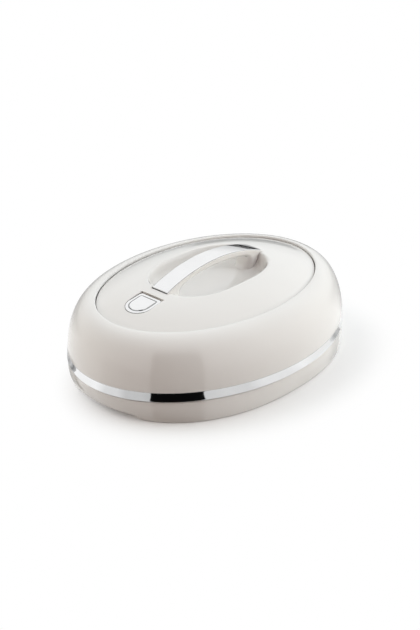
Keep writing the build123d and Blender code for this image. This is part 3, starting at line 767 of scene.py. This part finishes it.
def bow_mesh():
    half = bow_half()
    rows = [[(-x, y, z) for x, y, z in section] for section in reversed(half[1:])] + half
    count = len(rows[0])
    verts, faces = [], []
    for row in rows:
        verts += [tuple(v * MM for v in p) for p in row]
        verts += [(x * MM, -y * MM, z * MM) for x, y, z in reversed(row)]
    size = 2 * count
    for k in range(len(rows) - 1):
        for i in range(size):
            j = (i + 1) % size
            faces.append((k * size + i, (k + 1) * size + i, (k + 1) * size + j, k * size + j))
    for base, flip in ((0, False), ((len(rows) - 1) * size, True)):
        end = count - 8     # the outer end of the wall line
        rungs = [(base + i, base + i + 1, base + size - 2 - i, base + size - 1 - i) for i in range(end)]
        rungs.append(tuple(base + i for i in range(end, size - end)))
        faces += [tuple(reversed(f)) for f in rungs] if flip else rungs
    mesh = bpy.data.meshes.new("bow_moulding")
    mesh.from_pydata(verts, [], faces)
    mesh.validate()
    return mesh


def trim_rings():
    """Sections along the trim, rolled at the sides and a little higher along the middle."""
    steps, half = 72, TRIM_W / 2 - TRIM_GAP
    side = [(half, -TRIM_TAIL)]
    side += [(half - inside, TRIM_T - TRIM_CROWN - down) for inside, down in quarter(TRIM_ROLL, 6)]
    for i in range(1, 11):
        share = 1 - i / 10
        side.append(((half - TRIM_ROLL) * share, TRIM_T - TRIM_CROWN * share ** 2))
    section = side + [(-y, h) for y, h in reversed(side[:-1])]
    rings = []
    for k in range(steps + 1):
        x = -TRIM_END_X + 2 * TRIM_END_X * k / steps
        rings.append([(x, y, bow_top(x) - TRIM_SEAT + h) for y, h in section])
    return rings


finish_piece("bow_moulding", bow_mesh(), "lid", "moulded_white", ["handle_bow"])
build("bow_trim", trim_rings(), "lid", "chrome_trim", ["handle_trim"], closed=False)


# ---------------------------------------------------------------- badge

def badge_rings():
    rings = [[badge_point(u, v, w) for u, v in badge_outline(d)] for d, w in BADGE_PROFILE]
    core = badge_outline(BADGE_PROFILE[-1][0])
    for share, w in BADGE_MIDDLE:
        rings.append([badge_point(BADGE_CENTRE + (u - BADGE_CENTRE) * share, v * share, w) for u, v in core])
    return rings


build("badge_plating", badge_rings(), "lid", "chrome_trim", ["badge_plate"], closed=False)


# ---------------------------------------------------------------- smooth shading on the kept CAD nodes

for node in nodes.values():
    if node.hide_render:
        continue
    bpy.context.view_layer.objects.active = node
    node.select_set(True)
    bpy.ops.object.shade_smooth_by_angle(angle=math.radians(30))
    node.select_set(False)


# ---------------------------------------------------------------- floor and cards

# The camera, as the photo's curves give it. The cards on the floor are laid out from its place, in metres.
AZIMUTH, ELEVATION = math.radians(-47.46), math.radians(26.95)
FOCAL_PX, FRAME_H, SENSOR = 1157.8, 630, 36.0
EYE = Vector((-0.72854, -0.67016, 0.54147))
CLIP = (0.05, 50)

WHITE = (1.0, 1.0, 1.0)
FLOOR_HALF = 6.0                        # metres
FLOOR_SEEN = (0.96, 0.95, 0.94)         # the white that the camera sees
FLOOR_BOUNCE = (0.48, 0.46, 0.44)       # the share of light that the floor throws back on the object
FLOOR_GLOW = (0.60, 0.54, 0.50)         # light from the floor further out
# Where the shadow gives way to plain white, and where the glow starts and is full: the centre of the oval in
# metres, and two distances in half axes of the object.
SEEN_FADE = ((0.007, -0.025), 0.88, 1.28)
GLOW_FADE = ((-0.09, -0.08), 1.2, 2.8)
CARD_REACH = 5.0                        # metres


def stage_mesh(name, verts, faces, material):
    mesh = bpy.data.meshes.new(name)
    mesh.from_pydata(verts, [], faces)
    obj = bpy.data.objects.new(name, mesh)
    bpy.context.scene.collection.objects.link(obj)
    mesh.materials.append(material)
    return obj


def stage_material(name):
    """Material with nothing in it but its output."""
    material = bpy.data.materials.new(name)
    material.use_nodes = True
    tree = material.node_tree
    tree.nodes.clear()
    return material, tree, tree.nodes.new("ShaderNodeOutputMaterial")


def seen_rays(tree):
    """1 for rays from the camera, a mirror or glass, and 0 for rays that light a surface."""
    path = tree.nodes.new("ShaderNodeLightPath")
    seen = path.outputs["Is Camera Ray"]
    for kind in ("Is Glossy Ray", "Is Transmission Ray"):
        seen = calc(tree, "MAXIMUM", seen, path.outputs[kind])
    return seen


def oval_fade(tree, place, centre, near, far):
    """0 within an oval round the object and 1 further out."""
    shift = vector_calc(tree, "SUBTRACT", place, (*centre, 0.0))
    shrink = vector_calc(tree, "MULTIPLY", shift, (1 / (BAND_A * MM), 1 / (BAND_B * MM), 0.0))
    length = add_node(tree, "ShaderNodeVectorMath", {0: shrink}, operation="LENGTH").outputs["Value"]
    return map_range(tree, length, near, far, curve="SMOOTHSTEP")


def floor_material():
    """White floor that keeps the object's shadow near it and turns plain white further out."""
    material, tree, out = stage_material("studio_floor")
    seen = seen_rays(tree)
    place = tree.nodes.new("ShaderNodeTexCoord").outputs["Object"]
    glow_fade, seen_fade = oval_fade(tree, place, *GLOW_FADE), oval_fade(tree, place, *SEEN_FADE)
    fade = add_node(tree, "ShaderNodeMix", {"Factor": seen, "A": glow_fade, "B": seen_fade})
    matt = add_node(tree, "ShaderNodeBsdfDiffuse", {
        "Color": mix_colour(tree, seen, opaque(FLOOR_BOUNCE), opaque(FLOOR_SEEN))})
    plain = add_node(tree, "ShaderNodeEmission", {
        "Color": mix_colour(tree, seen, opaque(FLOOR_GLOW), opaque(WHITE))})
    mixer = add_node(tree, "ShaderNodeMixShader", {
        "Fac": fade.outputs["Result"], 1: matt.outputs["BSDF"], 2: plain.outputs["Emission"]})
    tree.links.new(mixer.outputs["Shader"], out.inputs["Surface"])
    return material


def card_material():
    """Card that glows by a colour attribute: 0 is black, and 1 is as bright as the white walls."""
    material, tree, out = stage_material("studio_card")
    shade = add_node(tree, "ShaderNodeAttribute", {}, attribute_name="shade")
    glow = add_node(tree, "ShaderNodeEmission", {"Color": shade.outputs["Color"]})
    tree.links.new(glow.outputs["Emission"], out.inputs["Surface"])
    return material


stage_mesh("floor", [(x * FLOOR_HALF, y * FLOOR_HALF, 0) for x, y in ((-1, -1), (1, -1), (1, 1), (-1, 1))],
           [(0, 1, 2, 3)], floor_material())
CARD = card_material()


def shaded_card(name, verts, shades):
    """Strip of floor card through pairs of near and far points, which only gloss shows."""
    strip = [(2 * k, 2 * k + 1, 2 * k + 3, 2 * k + 2) for k in range(len(verts) // 2 - 1)]
    card = stage_mesh(name, verts, strip, CARD)
    colour = card.data.color_attributes.new("shade", "FLOAT_COLOR", "POINT")
    for row, shade in zip(colour.data, shades):
        row.color = (shade, shade, shade, 1)
    card.visible_camera = card.visible_diffuse = card.visible_shadow = False


def mirrored_way(angle):
    """Point of the band at an angle round its oval, and the plan direction that it mirrors to the camera."""
    x, y = BAND_A * MM * math.cos(angle), BAND_B * MM * math.sin(angle)
    normal = math.atan2(math.sin(angle) / BAND_B, math.cos(angle) / BAND_A)
    view = math.atan2(y - EYE.y, x - EYE.x)
    return x, y, 2 * normal + math.pi - view


def mirrored_card(name, lift, columns, reach=CARD_REACH):
    """Card on the floor along the ways that the band mirrors; columns are (band angle in degrees, shade)."""
    verts, shades = [], []
    for degrees, shade in columns:
        x, y, way = mirrored_way(math.radians(degrees))
        verts += [(x, y, lift), (x + reach * math.cos(way), y + reach * math.sin(way), lift)]
        shades += [shade, shade]
    shaded_card(name, verts, shades)


def sector_card(name, lift, start, end, near, shade, soft):
    """Sector of dark floor outward from an oval round the object; its sides fade over soft degrees."""
    steps, verts, shades = 24, [], []
    for k in range(steps + 1):
        degrees = start + (end - start) * k / steps
        a = math.radians(degrees)
        fade = min(1.0, min(degrees - start, end - degrees) / soft) if soft else 1.0
        for r in (near, CARD_REACH / (BAND_A * MM)):
            verts.append((r * BAND_A * MM * math.cos(a), r * BAND_B * MM * math.sin(a), lift))
            shades.append(1 + (shade - 1) * fade)
    shaded_card(name, verts, shades)


SMALL_REACH = 0.07      # metres
mirrored_card("dark_ground", 0.0006, [(-151.7, 0.003), (-145.0, 0.003), (-138.0, 0.003), (-131.3, 0.003)])
mirrored_card("grey_ground_left", 0.0004, [(-186.0, 1.0), (-172.0, 0.76), (-162.0, 0.60), (-151.0, 0.52)])
mirrored_card("grey_ground_right", 0.0004, [(-132.0, 0.66), (-122.0, 0.72), (-108.0, 0.86), (-90.0, 1.0)])
mirrored_card("small_ground_right", 0.0008, [(-70.0, 0.8), (-66.0, 0.45), (-62.0, 0.6), (-59.0, 0.4)],
              SMALL_REACH)
mirrored_card("small_ground_left", 0.0008,
              [(-212.0, 0.7), (-204.0, 0.4), (-200.0, 0.6), (-197.0, 0.2), (-193.5, 0.6)], SMALL_REACH)
sector_card("grey_far_ground", 0.0003, -30.0, 110.0, 1.16, 0.42, 20.0)
sector_card("dark_far_ground", 0.0006, 34.0, 54.0, 6.5, 0.02, 0.0)


# ---------------------------------------------------------------- light

# Soft lights of the studio: (azimuth, elevation, sharpness, colour).
LIGHTS = (
    (-135.0, 35.0, 6.0, (0.15, 0.0, 0.0)),          # a breath of warmth on the side that faces the camera
    (-56.0, 0.0, 16.0, (4.9, 4.7, 4.2)),            # low warm fill from the near right
    (-45.0, 35.0, 6.0, (1.75, 1.85, 1.9)),          # key light from the right
    (-15.0, 35.0, 6.0, (1.6, 1.75, 1.8)),           # and its other half
    (40.0, 35.0, 6.0, (0.4, 0.4, 0.45)),            # weak light from the far right
    (105.0, 35.0, 6.0, (1.75, 1.85, 1.85)),         # light from behind
    (150.0, 35.0, 6.0, (0.5, 0.5, 0.45)),           # fill from the left
    (156.0, 0.0, 16.0, (3.7, 3.4, 3.1)),            # low fill on the badge end
    (0.0, 90.0, 6.0, (0.18, 0.17, 0.16)),           # weak light from above
)
# Dark parts of the studio that only gloss shows: azimuth, half width, softness of the sides, the elevations
# where it is full and gone, and its depth.
DARK_PARTS = (
    (-132.0, 21.5, 1.5, 25.0, 65.0, 1.0),
    (38.5, 8.5, 1.5, 1.0, 4.5, 1.0),
    (42.0, 45.0, 25.0, 3.0, 20.0, 0.3),
)


def plan_way(azimuth):
    a = math.radians(azimuth)
    return math.cos(a), math.sin(a), 0


def cos_degrees(degrees):
    return math.cos(math.radians(degrees))


def sin_degrees(degrees):
    return math.sin(math.radians(degrees))


def white_walls(tree, place):
    """Strength of the white walls as gloss shows them, with the dark parts taken off."""
    height = add_node(tree, "ShaderNodeSeparateXYZ", {"Vector": place}).outputs["Z"]
    flat = vector_calc(tree, "MULTIPLY", place, (1, 1, 0))
    unit = add_node(tree, "ShaderNodeVectorMath", {0: flat}, operation="NORMALIZE").outputs["Vector"]
    total = 0.0
    for azimuth, half, soft, full, gone, depth in DARK_PARTS:
        side = map_range(tree, facing(tree, unit, plan_way(azimuth)), cos_degrees(half + soft),
                         cos_degrees(half - soft), curve="SMOOTHSTEP")
        rise = map_range(tree, height, sin_degrees(gone), sin_degrees(full), high=depth, curve="SMOOTHSTEP")
        total = calc(tree, "MAXIMUM", total, calc(tree, "MULTIPLY", side, rise))
    gloss = tree.nodes.new("ShaderNodeLightPath").outputs["Is Glossy Ray"]
    return calc(tree, "SUBTRACT", 1.0, calc(tree, "MULTIPLY", total, gloss), use_clamp=True)


def soft_lights(tree, place):
    """Colour of all the soft lights together."""
    total = (0.0, 0.0, 0.0)
    for azimuth, elevation, sharpness, colour in LIGHTS:
        x, y, _ = plan_way(azimuth)
        level = cos_degrees(elevation)
        way = (x * level, y * level, sin_degrees(elevation))
        front = calc(tree, "MAXIMUM", facing(tree, place, way), 0.0)
        shape = calc(tree, "POWER", front, sharpness)
        tint = add_node(tree, "ShaderNodeVectorMath", {0: colour, "Scale": shape}, operation="SCALE")
        total = vector_calc(tree, "ADD", total, tint.outputs["Vector"])
    return total


def studio_world():
    """White walls for the camera and for gloss, and soft lights for all that lights a surface."""
    world = bpy.data.worlds.new("studio")
    bpy.context.scene.world = world
    world.use_nodes = True
    tree = world.node_tree
    tree.nodes.clear()
    place = tree.nodes.new("ShaderNodeTexCoord").outputs["Generated"]
    light = add_node(tree, "ShaderNodeBackground", {"Color": soft_lights(tree, place)})
    seen = add_node(tree, "ShaderNodeBackground", {
        "Color": opaque(WHITE), "Strength": white_walls(tree, place)})
    mixer = add_node(tree, "ShaderNodeMixShader", {
        "Fac": seen_rays(tree), 1: light.outputs["Background"], 2: seen.outputs["Background"]})
    out = tree.nodes.new("ShaderNodeOutputWorld")
    tree.links.new(mixer.outputs["Shader"], out.inputs["Surface"])


studio_world()


# ---------------------------------------------------------------- camera

back = Vector((math.sin(AZIMUTH) * math.cos(ELEVATION), -math.cos(AZIMUTH) * math.cos(ELEVATION),
               math.sin(ELEVATION)))
camera = bpy.data.cameras.new("camera")
camera.sensor_fit = "AUTO"
camera.sensor_width = SENSOR
camera.lens = FOCAL_PX / FRAME_H * SENSOR
camera.clip_start, camera.clip_end = CLIP
holder = bpy.data.objects.new("camera", camera)
bpy.context.scene.collection.objects.link(holder)
holder.location = EYE
holder.rotation_mode = "QUATERNION"
holder.rotation_quaternion = (-back).to_track_quat("-Z", "Y")
bpy.context.scene.camera = holder
bpy.context.scene.view_settings.view_transform = "Standard"
